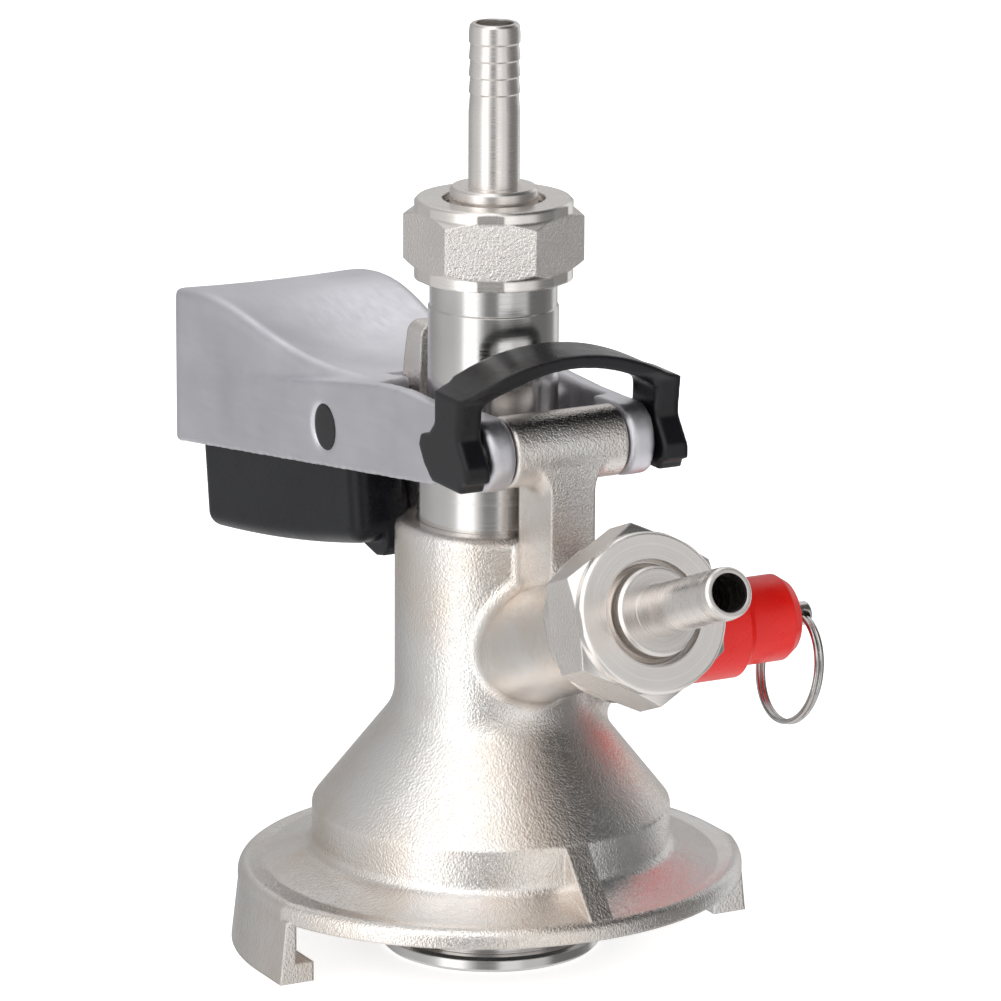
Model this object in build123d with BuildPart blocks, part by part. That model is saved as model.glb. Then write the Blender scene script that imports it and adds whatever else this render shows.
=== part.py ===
from build123d import *
from math import cos, radians, sin, sqrt
import os

# Flat-slider keg coupler: cast body, sliding probe, fork lever with squeeze trigger,
# two barbed hose unions, pull-ring relief valve and a plastic bail on the hinge pin.
#
# Millimetres.  +Z is up along the probe, -Y is the gas inlet side and +X the relief valve.
# The origin is on the probe axis, level with the bottom of the probe head.
# The lever is down, so the probe is at the bottom of its stroke.

os.makedirs("parts", exist_ok=True)

# ---------------------------------------------------------------- driving dimensions
running_fit = 0.05          # radial clearance of pins and shafts
slide_fit = 0.08            # radial clearance of the probe in its guide
moving_gap = 0.3            # clearance between parts that pass each other
wall_skin = 2.7             # thin die-cast and moulded walls

# body casting
claw_foot_z = 1.4           # underside of the two claw rails
lip_thickness = 3.6         # claw lip, foot to its upper face
flange_bottom_z = 12.5
flange_thickness = 3.5
flange_half_width = 46.6
flange_back_centre_y = -1.0
flange_side_front_y = -8.0
flange_front_y = -43.2
claw_outer_half_width = 47.8
claw_inner_half_width = 44.6
claw_lip_half_width = 41.2
claw_front_y = -10.4
bell_radius = 32.6
bell_height = 10.8          # flange top to the foot of the cone
skirt_radius = 41.4         # foot of the sloping skirt round the bell
skirt_height = 3.3
cone_height = 19.0
neck_radius = 17.6
neck_top_z = 80.0
rib_width = 4.6
casting_fillet = 2.2
bell_shoulder_fillet = 1.2
cone_top_fillet = 9.0
neck_rim_fillet = 2.2
branch_fillet = 3.0
post_fillet = 2.0

# hollow inside the casting
seal_pocket_radius = 27.0
seal_pocket_depth = 3.8
chamber_radius = 24.0
chamber_top_z = 30.0
throat_radius = 15.0
throat_bottom_z = 45.0
guide_bottom_z = 60.0

# probe
probe_head_radius = 20.0
probe_head_height = 2.8
probe_lip_radius = 16.6     # relief cut in the underside, round the seal
probe_lip_depth = 1.2
probe_seal_radius = 14.0
probe_seal_pocket = 3.2     # height of the pocket's roof
probe_seal_proud = 0.4      # height of the seal's face
probe_foot_radius = 17.6
probe_foot_top_z = 12.0
probe_stem_radius = 11.2
guide_radius = 13.58
guide_start_z = 54.0
sleeve_radius = 11.72
collar_radius = 12.9
collar_height = 2.8
thread_radius = 11.45
thread_bottom_z = 119.2
probe_bore_radius = 4.2
ball_chamber_radius = 8.0
ball_chamber_depth = 18.0
ball_seat_drop = 3.8        # height of the conical seat
ball_radius = 5.2
ball_lift = 3.0
cage_wall = 1.6
cage_bar_width = 2.0
o_ring_wire_radius = 1.3
upper_o_ring_z = 63.5
lower_o_ring_z = 7.4

# lever hinge and the lugs that carry the probe
hinge_y = -24.3
hinge_z = 98.4
hinge_pin_radius = 3.0
barrel_radius = 6.4
barrel_half_length = 11.1
post_width = 8.7
post_depth = 12.2
lever_swing = 30.0          # degrees from tapped to released
lug_reach = 25.6            # hinge axis to lug axis
lug_radius = 2.4
lug_tip_half_width = 12.15
lug_rib_half_width = 13.3   # rib that stiffens the lug, inside the arm
lug_rib_top_z = 101.5

# lever
lever_tilt = 7.0            # degrees the far end hangs below the hinge
knuckle_radius = 6.6
knuckle_outer = 16.6
lever_far_half_width = 21.1
lever_length = 118.8
lever_far_y = 93.0
lever_corner = 5.0
arm_half_gap = 14.3
window_end = 40.0
fin_slot_half_width = 5.7
trigger_pin_reach = 55.6
trigger_pin_radius = 2.0
plug_radius = 4.2
plug_depth = 1.4
trigger_gap = 0.4           # trigger flank to lever wall
trigger_wall = 2.2
trigger_front_wall = 4.8    # pin axis to the front wall
trigger_far = 112.0
trigger_depth = 24.5        # pin axis to the underside
trigger_front_depth = 21.6
trigger_lip = 4.0           # flanks above the pin axis, inside the lever
trigger_corner = 3.0
tongue_half_width = 9.0
spring_pocket_radius = 3.7
spring_pocket_length = 7.0
trigger_spring_radius = 2.9
trigger_spring_length = 6.0
trigger_spring_turns = 5

# rear fin that the trigger straddles
fin_width = 9.0
fin_top_width = 6.6
fin_root_depth = 20.0
fin_overlap = 6.0           # fin's foot inside the neck
fin_front_y = 20.8
fin_pin_gap = 1.2           # fin's rear face to the trigger pin
fin_top_z = 111.0

# hose unions, the same size for beer and gas
nut_length = 14.3
nut_across_flats = 28.0
nut_collar_radius = 14.2
nut_collar_length = 2.0
nut_chamfer = 1.2           # height of the chamfer on the hexagon's corners
nut_bore_radius = 9.24
nut_thread_reach = 7.3      # how far the nut reaches back over the thread
washer_thickness = 2.0
washer_radius = 10.6
tail_flange_thickness = 2.5
tail_collar_radius = 7.9
tail_collar_height = 2.2
beer_nut_face_z = 138.5
beer_tail_length = 31.5     # nut face to the tail's tip
gas_tail_length = 27.6
tail_radius = 4.6
tail_bore_radius = 3.4
tail_lead = 0.9             # rounded end of the tail
barb_depth = 0.24
barb_pitch = 3.0
barb_count = 4

# gas branch
gas_axis_z = 53.9
gas_tilt = 21.0             # degrees above level
gas_seat_reach = 57.0       # probe axis to the end of the gas thread
gas_boss_radius = 10.6
gas_thread_length = 12.0
gas_bore_radius = 7.0
duckbill_rim = 4.0          # thickness of the check valve's rim
duckbill_length = 12.0
duckbill_radius = 4.9
duckbill_width = 8.6
duckbill_wall = 0.8
duckbill_slit = 0.5

# relief valve
relief_axis_z = 53.5
relief_boss_radius = 10.5
relief_boss_reach = 31.0
relief_thread_radius = 8.0
relief_hole_radius = 3.5    # way in from the chamber
relief_floor_x = 22.0       # floor of the tapped hole
relief_seat_x = 26.0        # face that the disc closes
relief_port_radius = 3.0
relief_pocket_radius = 5.8
relief_seat_flange = 1.8
relief_thread_out = 12.0    # seat's thread beyond the boss
relief_disc_radius = 5.2
relief_disc_thickness = 1.7
relief_cap_radius = 10.0
relief_cap_shoulder_x = 50.0
relief_nose_radius = 8.1
relief_cap_end_x = 62.4
stem_radius = 2.2
stem_end_x = 66.2
stem_head_thickness = 1.8
relief_spring_radius = 4.3
relief_spring_turns = 6
spring_wire_radius = 0.45
ring_hole_x = 64.5
ring_hole_radius = 1.15
ring_wire_radius = 0.52
ring_radius = 10.2
ring_lean = 10.5            # degrees the ring leans in under the cap

# bail on the ends of the hinge pin
bail_inner = 17.3
bail_outer = 22.2
bail_rise = 17.5            # hinge axis to the top of the arch
bail_thickness = 2.4
bail_half_depth = 6.3
bail_leg_half_depth = 5.0

# ---------------------------------------------------------------- derived values
flange_top_z = flange_bottom_z + flange_thickness
cone_foot_z = flange_top_z + bell_height
cone_top_z = cone_foot_z + cone_height
guide_bore_radius = guide_radius + slide_fit
half_swing = radians(lever_swing / 2)
lug_z = hinge_z - lug_reach * sin(half_swing)
lug_y = hinge_y + lug_reach * cos(half_swing)
groove_bottom_z = lug_z - lug_radius - moving_gap
groove_top_z = lug_z + lug_radius + moving_gap
union_stack = washer_thickness + tail_flange_thickness
nut_corner_radius = nut_across_flats / sqrt(3)
nut_face = nut_length - nut_thread_reach
probe_top_z = beer_nut_face_z - nut_face
fin_back_reach = trigger_pin_reach - trigger_pin_radius - fin_pin_gap
fin_slot_end = fin_back_reach + 1.8
trigger_front = trigger_pin_reach - trigger_front_wall
tilt = radians(lever_tilt)
gas_angle = radians(gas_tilt)

beer_seat = Plane(origin=(0, 0, probe_top_z), x_dir=(0, -1, 0), z_dir=(0, 0, 1))
gas_direction = Vector(0, -cos(gas_angle), sin(gas_angle))
gas_up = Vector(0, sin(gas_angle), cos(gas_angle))
gas_root = Vector(0, 0, gas_axis_z)
gas_axis_plane = Plane(origin=gas_root, x_dir=gas_up, z_dir=gas_direction)
gas_seat = gas_axis_plane.offset(gas_seat_reach)
relief_plane = Plane(origin=(0, 0, relief_axis_z), x_dir=(0, 1, 0), z_dir=(1, 0, 0))
relief_section = Plane(origin=(0, 0, relief_axis_z), x_dir=(1, 0, 0), z_dir=(0, -1, 0))
relief_axis = Axis((0, 0, relief_axis_z), (1, 0, 0))
hinge_plane = Plane(origin=(0, hinge_y, hinge_z), x_dir=(0, 1, 0), z_dir=(1, 0, 0))
lever_side = Plane(
    origin=(0, hinge_y, hinge_z), x_dir=(0, cos(tilt), -sin(tilt)), z_dir=(1, 0, 0)
)
lever_top = Plane(
    origin=(0, hinge_y, hinge_z), x_dir=(1, 0, 0), z_dir=(0, sin(tilt), cos(tilt))
)
lever_taper = (lever_far_half_width - knuckle_outer) / lever_length


def lever_half_width(reach):
    """Half the lever's outer width at a distance from the hinge."""
    return knuckle_outer + lever_taper * reach


def rail_outline(half_width, centre_y, front_y):
    """Horseshoe outline: straight sides and a round back, closed at front_y."""
    with BuildSketch() as outline:
        with BuildLine():
            Line((-half_width, front_y), (half_width, front_y))
            Line((half_width, front_y), (half_width, centre_y))
            ThreePointArc(
                (half_width, centre_y), (0, centre_y + half_width), (-half_width, centre_y)
            )
            Line((-half_width, centre_y), (-half_width, front_y))
        make_face()
    return outline.sketch


def edges_within(piece, low, high):
    """Edges of a piece that lie wholly inside a box, given by two corners."""
    def inside(edge):
        box = edge.bounding_box()
        nearest = (box.min.X, box.min.Y, box.min.Z)
        farthest = (box.max.X, box.max.Y, box.max.Z)
        return all(n >= l - 0.05 for n, l in zip(nearest, low)) and all(
            f <= h + 0.05 for f, h in zip(farthest, high)
        )

    return piece.edges().filter_by(inside)


def hinge_post():
    """Front post from the gas branch up to the hinge barrel, blended into the barrel."""
    front_y = hinge_y - post_depth / 2
    back_y = hinge_y + post_depth / 2
    with BuildPart() as post:
        with BuildSketch(Plane.YZ):
            with BuildLine():
                Polyline(
                    (front_y, hinge_z),
                    (back_y, hinge_z),
                    (back_y, neck_top_z),
                    (-neck_radius + 4, neck_top_z - 3),
                    (-neck_radius + 4, gas_axis_z),
                    (front_y, gas_axis_z + 10),
                    close=True,
                )
            make_face()
        extrude(amount=post_width / 2, both=True)
        with BuildSketch(hinge_plane):
            Circle(barrel_radius)
        extrude(amount=barrel_half_length, both=True)
        barrel_roots = edges_within(
            post,
            (-post_width / 2, front_y, hinge_z - barrel_radius),
            (post_width / 2, back_y, hinge_z),
        )
        fillet(barrel_roots, branch_fillet)
        chamfer(post.faces().filter_by(Axis.X).sort_by(Axis.X)[-1].edges(), 0.4)
        chamfer(post.faces().filter_by(Axis.X).sort_by(Axis.X)[0].edges(), 0.4)
    return post.part


def rear_fin():
    """Drafted fin behind the neck, its back struck about the hinge axis."""
    front_y = fin_front_y - hinge_y
    neck_rise = neck_top_z - hinge_z
    root_z = neck_top_z - fin_root_depth
    with BuildPart() as fin:
        with BuildSketch(Plane.XZ) as face:
            with BuildLine():
                Polyline(
                    (-fin_width / 2, root_z),
                    (fin_width / 2, root_z),
                    (fin_width / 2, neck_top_z + 4),
                    (fin_top_width / 2, fin_top_z),
                    (-fin_top_width / 2, fin_top_z),
                    (-fin_width / 2, neck_top_z + 4),
                    close=True,
                )
            make_face()
            fillet(face.vertices().group_by(Axis.Y)[-1], fin_top_width / 3)
        extrude(amount=-2 * fin_back_reach)
        with BuildSketch(hinge_plane):
            with BuildLine():
                back = ThreePointArc(
                    (front_y + 1, -sqrt(fin_back_reach**2 - (front_y + 1) ** 2)),
                    (fin_back_reach, 0),
                    (front_y + 1, sqrt(fin_back_reach**2 - (front_y + 1) ** 2)),
                )
                Polyline(
                    back @ 1,
                    (front_y, neck_rise + 2),
                    (front_y - fin_overlap, neck_rise - fin_overlap),
                    (front_y - fin_overlap, neck_rise - fin_root_depth),
                    back @ 0,
                )
            make_face()
        extrude(amount=fin_width, both=True, mode=Mode.INTERSECT)
    return fin.part


# ---------------------------------------------------------------- body casting
with BuildPart() as coupler_body:
    # flange with a bowed front edge
    with BuildSketch(Plane.XY.offset(flange_bottom_z)):
        with BuildLine():
            Line((flange_half_width, flange_side_front_y), (flange_half_width, flange_back_centre_y))
            ThreePointArc(
                (flange_half_width, flange_back_centre_y),
                (0, flange_back_centre_y + flange_half_width),
                (-flange_half_width, flange_back_centre_y),
            )
            Line((-flange_half_width, flange_back_centre_y), (-flange_half_width, flange_side_front_y))
            ThreePointArc(
                (-flange_half_width, flange_side_front_y),
                (0, flange_front_y),
                (flange_half_width, flange_side_front_y),
            )
        make_face()
    extrude(amount=flange_thickness)
    rim = coupler_body.faces().sort_by(Axis.Z)[-1].edges()
    fillet(rim, flange_thickness * 0.6)
    # claw rails under the sides and back
    with BuildSketch(Plane.XY.offset(flange_bottom_z + 0.5)):
        add(rail_outline(flange_half_width - 0.1, flange_back_centre_y, claw_front_y))
    with BuildSketch(Plane.XY.offset(claw_foot_z)):
        add(rail_outline(claw_outer_half_width, flange_back_centre_y, claw_front_y))
    loft()
    with BuildSketch(Plane.XY.offset(claw_foot_z + lip_thickness)):
        add(rail_outline(claw_inner_half_width, flange_back_centre_y, claw_front_y - 1))
    extrude(amount=flange_bottom_z - claw_foot_z - lip_thickness, mode=Mode.SUBTRACT)
    with BuildSketch(Plane.XY.offset(claw_foot_z)):
        add(rail_outline(claw_lip_half_width, flange_back_centre_y, claw_front_y - 1))
    extrude(amount=lip_thickness, mode=Mode.SUBTRACT)
    # sloping skirt, bell, cone and neck
    with BuildSketch(Plane.XZ) as profile:
        with BuildLine():
            Polyline(
                (0, flange_bottom_z + 0.1),
                (skirt_radius, flange_bottom_z + 0.1),
                (skirt_radius, flange_top_z),
                (bell_radius, flange_top_z + skirt_height),
                (bell_radius, cone_foot_z),
                (neck_radius, cone_top_z),
                (neck_radius, neck_top_z),
                (0, neck_top_z),
                close=True,
            )
        make_face()
        corners = profile.vertices().group_by(Axis.Y)
        fillet(corners[2], casting_fillet)
        fillet(profile.vertices().group_by(Axis.Y)[-1].sort_by(Axis.X)[-1], neck_rim_fillet)
        fillet(profile.vertices().filter_by(
            lambda v: abs(v.Y - cone_foot_z) < 0.01 and v.X > neck_radius), bell_shoulder_fillet)
        fillet(profile.vertices().filter_by(
            lambda v: abs(v.Y - cone_top_z) < 0.01 and v.X > 1), cone_top_fillet)
    revolve(axis=Axis.Z)
    # front rib on the flange
    with BuildSketch(Plane.YZ):
        with BuildLine():
            Polyline(
                (-bell_radius + 3, flange_bottom_z + 1),
                (flange_front_y + 1.0, flange_bottom_z + 1),
                (flange_front_y + 1.0, flange_top_z - 0.2),
                (-bell_radius + 0.6, cone_foot_z + 0.6),
                (-bell_radius + 3, cone_foot_z + 0.6),
                close=True,
            )
        make_face()
    extrude(amount=rib_width / 2, both=True)
    # gas branch and relief boss, blended into the neck
    with BuildSketch(gas_axis_plane):
        Circle(gas_boss_radius)
    extrude(amount=gas_seat_reach - gas_thread_length)
    gas_root_edges = edges_within(
        coupler_body, (-gas_boss_radius, -neck_radius, cone_top_z), (gas_boss_radius, -10, neck_top_z)
    )
    fillet(gas_root_edges.group_by(SortBy.LENGTH)[-1], branch_fillet)
    with BuildSketch(relief_plane):
        Circle(relief_boss_radius)
    extrude(amount=relief_boss_reach)
    relief_root_edges = edges_within(
        coupler_body,
        (neck_radius / 2, -relief_boss_radius - 1, relief_axis_z - relief_boss_radius - 1),
        (neck_radius + 5, relief_boss_radius + 1, relief_axis_z + relief_boss_radius + 1),
    )
    fillet(relief_root_edges, branch_fillet)
    with BuildSketch(gas_axis_plane.offset(gas_seat_reach - gas_thread_length - 0.5)):
        Circle(thread_radius)
    extrude(amount=gas_thread_length + 0.5)
    add(hinge_post())
    post_root_edges = edges_within(
        coupler_body,
        (-post_width / 2 - 0.1, hinge_y - post_depth / 2 - 0.1, gas_axis_z),
        (post_width / 2 + 0.1, -neck_radius + 2, neck_top_z + 0.1),
    )
    fillet(
        post_root_edges.filter_by(
            lambda e: e.bounding_box().min.Z < neck_top_z - 1
            and e.center().Y > hinge_y - post_depth / 2 + 0.3
        ),
        post_fillet,
    )
    add(rear_fin())
    # hollow: seal pocket, gas chamber, throat and guide
    with BuildSketch(Plane.XZ):
        with BuildLine():
            Polyline(
                (0, flange_bottom_z - 1),
                (seal_pocket_radius, flange_bottom_z - 1),
                (seal_pocket_radius, flange_bottom_z + seal_pocket_depth),
                (chamber_radius, flange_bottom_z + seal_pocket_depth),
                (chamber_radius, chamber_top_z),
                (throat_radius, throat_bottom_z),
                (throat_radius, guide_bottom_z),
                (guide_bore_radius, guide_bottom_z + 1.5),
                (guide_bore_radius, neck_top_z + 1),
                (0, neck_top_z + 1),
                close=True,
            )
        make_face()
    revolve(axis=Axis.Z, mode=Mode.SUBTRACT)
    # gas way, relief way and hinge bore
    with BuildSketch(gas_axis_plane.offset(10)):
        Circle(gas_bore_radius)
    extrude(amount=gas_seat_reach, mode=Mode.SUBTRACT)
    with BuildSketch(relief_plane.offset(10)):
        Circle(relief_hole_radius)
    extrude(amount=relief_boss_reach, mode=Mode.SUBTRACT)
    with BuildSketch(relief_plane.offset(relief_floor_x)):
        Circle(relief_thread_radius)
    extrude(amount=relief_boss_reach, mode=Mode.SUBTRACT)
    with BuildSketch(hinge_plane):
        Circle(hinge_pin_radius)
    extrude(amount=barrel_half_length + 1, both=True, mode=Mode.SUBTRACT)
coupler_body.part.label = "coupler_body"
export_step(coupler_body.part, "parts/coupler_body.step")

# ---------------------------------------------------------------- rubber ring under the flange
with BuildPart() as body_seal:
    with BuildSketch(Plane.XY.offset(flange_bottom_z)):
        Circle(seal_pocket_radius - 0.02)
        Circle(probe_head_radius + 0.5, mode=Mode.SUBTRACT)
    extrude(amount=seal_pocket_depth)
body_seal.part.label = "body_seal"
export_step(body_seal.part, "parts/body_seal.step")


# ---------------------------------------------------------------- probe
def o_ring_groove(radius, height):
    """Turned groove for an O-ring, as a ring to cut away."""
    with BuildPart() as groove:
        with BuildSketch(Plane.XY.offset(height - o_ring_wire_radius)):
            Circle(radius + 1)
            Circle(radius - 2 * o_ring_wire_radius, mode=Mode.SUBTRACT)
        extrude(amount=2 * o_ring_wire_radius)
    return groove.part


with BuildPart() as probe:
    with BuildSketch(Plane.XZ):
        with BuildLine():
            Polyline(
                (probe_bore_radius, probe_seal_pocket),
                (probe_seal_radius, probe_seal_pocket),
                (probe_seal_radius, probe_lip_depth),
                (probe_lip_radius, probe_lip_depth),
                (probe_lip_radius, 0),
                (probe_head_radius - 0.6, 0),
                (probe_head_radius, 0.6),
                (probe_head_radius, probe_head_height - 0.6),
                (probe_head_radius - 0.6, probe_head_height),
                (probe_foot_radius, probe_head_height),
                (probe_foot_radius, probe_foot_top_z),
                (probe_stem_radius, probe_foot_top_z + 4),
                (probe_stem_radius, guide_start_z - 2),
                (guide_radius, guide_start_z),
                (guide_radius, groove_bottom_z - 0.5),
                (guide_radius - 0.5, groove_bottom_z),
                (sleeve_radius, groove_bottom_z),
                (sleeve_radius, groove_top_z),
                (collar_radius, groove_top_z),
                (collar_radius, groove_top_z + collar_height - 0.5),
                (collar_radius - 0.5, groove_top_z + collar_height),
                (sleeve_radius, groove_top_z + collar_height),
                (sleeve_radius, thread_bottom_z - 0.3),
                (sleeve_radius - 0.3, thread_bottom_z),
                (thread_radius, thread_bottom_z),
                (thread_radius, probe_top_z - 1),
                (thread_radius - 1, probe_top_z),
                (ball_chamber_radius, probe_top_z),
                (ball_chamber_radius, probe_top_z - ball_chamber_depth),
                (probe_bore_radius, probe_top_z - ball_chamber_depth - ball_seat_drop),
                close=True,
            )
        make_face()
    revolve(axis=Axis.Z)
    add(o_ring_groove(guide_radius, upper_o_ring_z), mode=Mode.SUBTRACT)
    add(o_ring_groove(probe_foot_radius, lower_o_ring_z), mode=Mode.SUBTRACT)
probe.part.label = "probe"
export_step(probe.part, "parts/probe.step")


def o_ring(outer_radius, height):
    """Rubber O-ring seated in its groove, its outside just proud of the land."""
    with BuildPart() as ring:
        with BuildSketch(Plane.XZ):
            with Locations((outer_radius - o_ring_wire_radius, height)):
                Circle(o_ring_wire_radius - 0.05)
        revolve(axis=Axis.Z)
    return ring.part


with BuildPart() as upper_o_ring:
    add(o_ring(guide_radius, upper_o_ring_z))
upper_o_ring.part.label = "upper_o_ring"
export_step(upper_o_ring.part, "parts/upper_o_ring.step")

with BuildPart() as lower_o_ring:
    add(o_ring(probe_foot_radius, lower_o_ring_z))
lower_o_ring.part.label = "lower_o_ring"
export_step(lower_o_ring.part, "parts/lower_o_ring.step")

with BuildPart() as probe_seal:
    with BuildSketch(Plane.XY.offset(probe_seal_proud)):
        Circle(probe_seal_radius - running_fit)
        Circle(2 * probe_bore_radius, mode=Mode.SUBTRACT)
    extrude(amount=probe_seal_pocket - probe_seal_proud)
    fillet(probe_seal.faces().sort_by(Axis.Z)[0].edges(), 0.8)
probe_seal.part.label = "probe_seal"
export_step(probe_seal.part, "parts/probe_seal.step")

# check ball, free to lift inside the top of the probe, and the cage that stops it
seat_width = ball_chamber_radius - probe_bore_radius
seat_slant = sqrt(seat_width**2 + ball_seat_drop**2)
seat_reach = (ball_radius + running_fit) * seat_slant - ball_chamber_radius * ball_seat_drop
ball_seat_z = probe_top_z - ball_chamber_depth + seat_reach / seat_width
cage_bottom_z = ball_seat_z + ball_radius + ball_lift + moving_gap
with BuildPart() as check_ball:
    with Locations((0, 0, ball_seat_z)):
        Sphere(ball_radius)
check_ball.part.label = "check_ball"
export_step(check_ball.part, "parts/check_ball.step")

with BuildPart() as ball_cage:
    with BuildSketch(Plane.XY.offset(cage_bottom_z)):
        Circle(ball_chamber_radius - 0.03)
        Circle(ball_chamber_radius - cage_wall, mode=Mode.SUBTRACT)
        Rectangle(2 * ball_chamber_radius - cage_wall, cage_bar_width)
        Rectangle(cage_bar_width, 2 * ball_chamber_radius - cage_wall)
    extrude(amount=probe_top_z - cage_bottom_z)
ball_cage.part.label = "ball_cage"
export_step(ball_cage.part, "parts/ball_cage.step")


# ---------------------------------------------------------------- hose unions
def sealing_washer(seat):
    """Flat washer between the threaded seat and the tail's flange."""
    with BuildPart() as washer:
        with BuildSketch(seat):
            Circle(washer_radius)
            Circle(gas_bore_radius, mode=Mode.SUBTRACT)
        extrude(amount=washer_thickness)
    return washer.part


def hose_tail(seat, length):
    """Barbed hose tail: flange held by the nut, collar, barbs and bore."""
    tip = nut_face + length
    first_barb = tip - barb_count * barb_pitch - tail_lead
    shoulder_radius = nut_bore_radius - 0.5
    profile = [
        (0, washer_thickness),
        (washer_radius, washer_thickness),
        (washer_radius, union_stack),
        (shoulder_radius, union_stack),
        (shoulder_radius, union_stack + 0.8),
        (tail_collar_radius, union_stack + 1.6),
        (tail_collar_radius, nut_face + tail_collar_height - 0.5),
        (tail_collar_radius - 0.5, nut_face + tail_collar_height),
        (tail_radius, nut_face + tail_collar_height),
        (tail_radius, first_barb - barb_pitch),
    ]
    for barb in range(barb_count):
        groove = first_barb + barb * barb_pitch
        profile += [
            (tail_radius - barb_depth, groove),
            (tail_radius - barb_depth, groove + 0.25),
            (tail_radius, groove + 0.55),
        ]
    profile += [
        (tail_radius, tip - 2 * tail_lead),
        (tail_radius - 0.15, tip - tail_lead / 2),
        (tail_radius - 0.55, tip),
        (0, tip),
    ]
    with BuildPart() as tail:
        with BuildSketch(Plane.XZ):
            with BuildLine():
                Polyline(*profile, close=True)
            make_face()
        revolve(axis=Axis.Z)
        with BuildSketch(Plane.XY.offset(washer_thickness)):
            Circle(tail_bore_radius)
        extrude(amount=tip, mode=Mode.SUBTRACT)
    return seat.location * tail.part


def union_nut(seat):
    """Hex union nut with a turned collar at each end and a bored web."""
    low = -nut_thread_reach
    with BuildPart() as nut:
        with BuildSketch(Plane.XY.offset(low)):
            RegularPolygon(nut_corner_radius, 6)
        extrude(amount=nut_length)
        with BuildSketch(Plane.XZ):
            with BuildLine():
                Polyline(
                    (0, low),
                    (nut_collar_radius, low),
                    (nut_collar_radius, low + nut_collar_length),
                    (nut_corner_radius + 0.1, low + nut_collar_length + nut_chamfer),
                    (nut_corner_radius + 0.1, nut_face - nut_collar_length - nut_chamfer),
                    (nut_collar_radius, nut_face - nut_collar_length),
                    (nut_collar_radius, nut_face - 0.5),
                    (nut_collar_radius - 0.5, nut_face),
                    (0, nut_face),
                    close=True,
                )
            make_face()
        revolve(axis=Axis.Z, mode=Mode.INTERSECT)
        with BuildSketch(Plane.XY.offset(low)):
            Circle(thread_radius)
        extrude(amount=union_stack - low, mode=Mode.SUBTRACT)
        with BuildSketch(Plane.XY.offset(low)):
            Circle(nut_bore_radius)
        extrude(amount=nut_length, mode=Mode.SUBTRACT)
    return seat.location * nut.part


unions = (("beer", beer_seat, beer_tail_length), ("gas", gas_seat, gas_tail_length))
for medium, seat, length in unions:
    for name, piece in (
        ("washer", sealing_washer(seat)),
        ("hose_tail", hose_tail(seat, length)),
        ("union_nut", union_nut(seat)),
    ):
        piece.label = f"{medium}_{name}"
        export_step(piece, f"parts/{medium}_{name}.step")

# duckbill check valve in the gas branch
with BuildPart() as gas_check_valve:
    with BuildSketch(gas_seat.offset(-duckbill_rim)):
        Circle(gas_bore_radius - 0.03)
    extrude(amount=duckbill_rim)
    with BuildSketch(gas_seat.offset(-duckbill_rim)):
        Circle(duckbill_radius)
    with BuildSketch(gas_seat.offset(-duckbill_length)):
        Rectangle(2 * duckbill_wall + duckbill_slit, duckbill_width)
    loft()
    with BuildSketch(gas_seat):
        Circle(duckbill_radius - duckbill_wall)
    with BuildSketch(gas_seat.offset(duckbill_wall - duckbill_length)):
        Rectangle(duckbill_slit, duckbill_width - 2 * duckbill_wall)
    loft(mode=Mode.SUBTRACT)
gas_check_valve.part.label = "gas_check_valve"
export_step(gas_check_valve.part, "parts/gas_check_valve.step")

# ---------------------------------------------------------------- relief valve, along +X
cap_start_x = relief_boss_reach + relief_seat_flange
cap_web_x = relief_boss_reach + relief_thread_out
stem_head_x = relief_seat_x + relief_disc_thickness
stem_start_x = stem_head_x + stem_head_thickness
with BuildPart() as relief_seat_insert:
    with BuildSketch(relief_plane.offset(relief_floor_x)):
        Circle(relief_thread_radius)
    extrude(amount=cap_web_x - relief_floor_x)
    with BuildSketch(relief_plane.offset(relief_boss_reach)):
        Circle(relief_cap_radius - 0.4)
    extrude(amount=relief_seat_flange)
    with BuildSketch(relief_plane.offset(relief_floor_x)):
        Circle(relief_port_radius)
    extrude(amount=relief_seat_x - relief_floor_x, mode=Mode.SUBTRACT)
    with BuildSketch(relief_plane.offset(relief_seat_x)):
        Circle(relief_pocket_radius)
    extrude(amount=cap_web_x, mode=Mode.SUBTRACT)
relief_seat_insert.part.label = "relief_seat"
export_step(relief_seat_insert.part, "parts/relief_seat.step")

with BuildPart() as relief_cap:
    with BuildSketch(relief_section):
        with BuildLine():
            Polyline(
                (cap_start_x, relief_thread_radius),
                (cap_start_x, relief_cap_radius),
                (relief_cap_shoulder_x - 1.2, relief_cap_radius),
                (relief_cap_shoulder_x, relief_cap_radius - 1.2),
                (relief_cap_shoulder_x + 0.6, relief_nose_radius),
                (relief_cap_end_x - 3.2, relief_nose_radius),
                (relief_cap_end_x - 1.2, relief_nose_radius - 1.3),
                (relief_cap_end_x, relief_nose_radius - 4.2),
                (relief_cap_end_x, stem_radius + running_fit),
                (cap_web_x, stem_radius + running_fit),
                (cap_web_x, relief_thread_radius),
                close=True,
            )
        make_face()
    revolve(axis=relief_axis)
relief_cap.part.label = "relief_cap"
export_step(relief_cap.part, "parts/relief_cap.step")

with BuildPart() as relief_disc:
    with BuildSketch(relief_plane.offset(relief_seat_x)):
        Circle(relief_disc_radius)
    extrude(amount=relief_disc_thickness)
relief_disc.part.label = "relief_disc"
export_step(relief_disc.part, "parts/relief_disc.step")

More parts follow.
